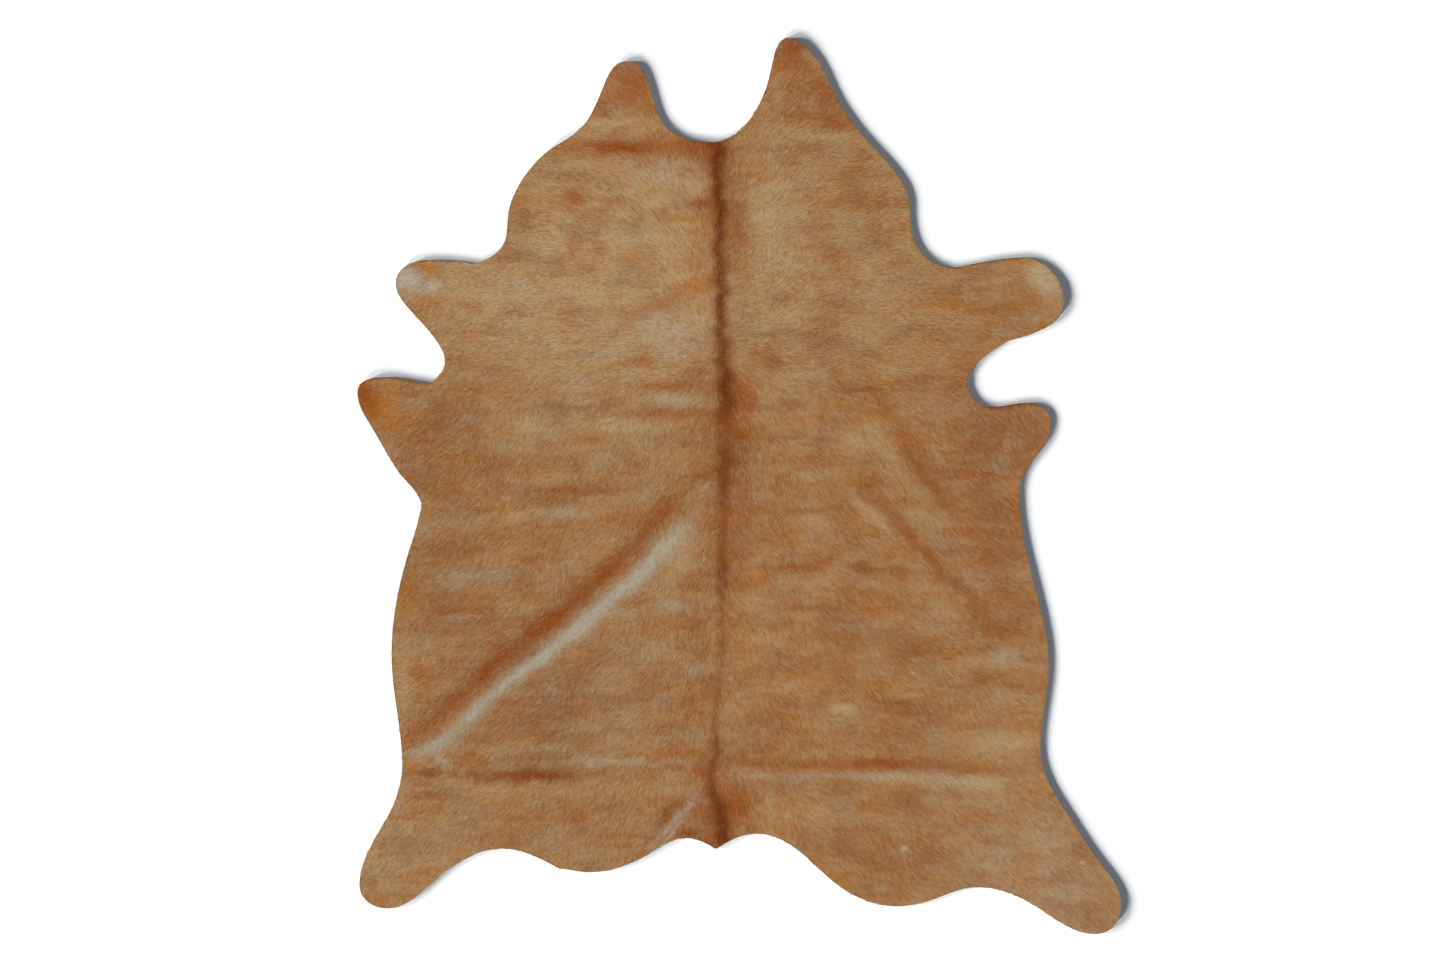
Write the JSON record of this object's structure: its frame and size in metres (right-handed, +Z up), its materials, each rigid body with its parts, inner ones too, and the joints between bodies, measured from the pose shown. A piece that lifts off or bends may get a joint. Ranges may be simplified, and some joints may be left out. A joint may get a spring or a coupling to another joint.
{
  "type": "cowhide rug",
  "caption": "Whole hair-on cowhide cut flat as a rug, with leg, elbow and ear lobes around its natural outline and soft fold creases.",
  "frame": {"origin": "on the floor, under the middle of the hide's bounding box", "axes": "+Z up through the coat, +Y from the tail end to the neck, +X to the right as seen from above with the neck away from the viewer"},
  "size_m": [1.79, 2.1001, 0.016],
  "materials": {
    "hair_on_hide": "short golden-tan cattle coat, lying flat, on suede-backed leather"
  },
  "bodies": {
    "root": {"hide": "hair_on_hide"}
  },
  "joints": []
}
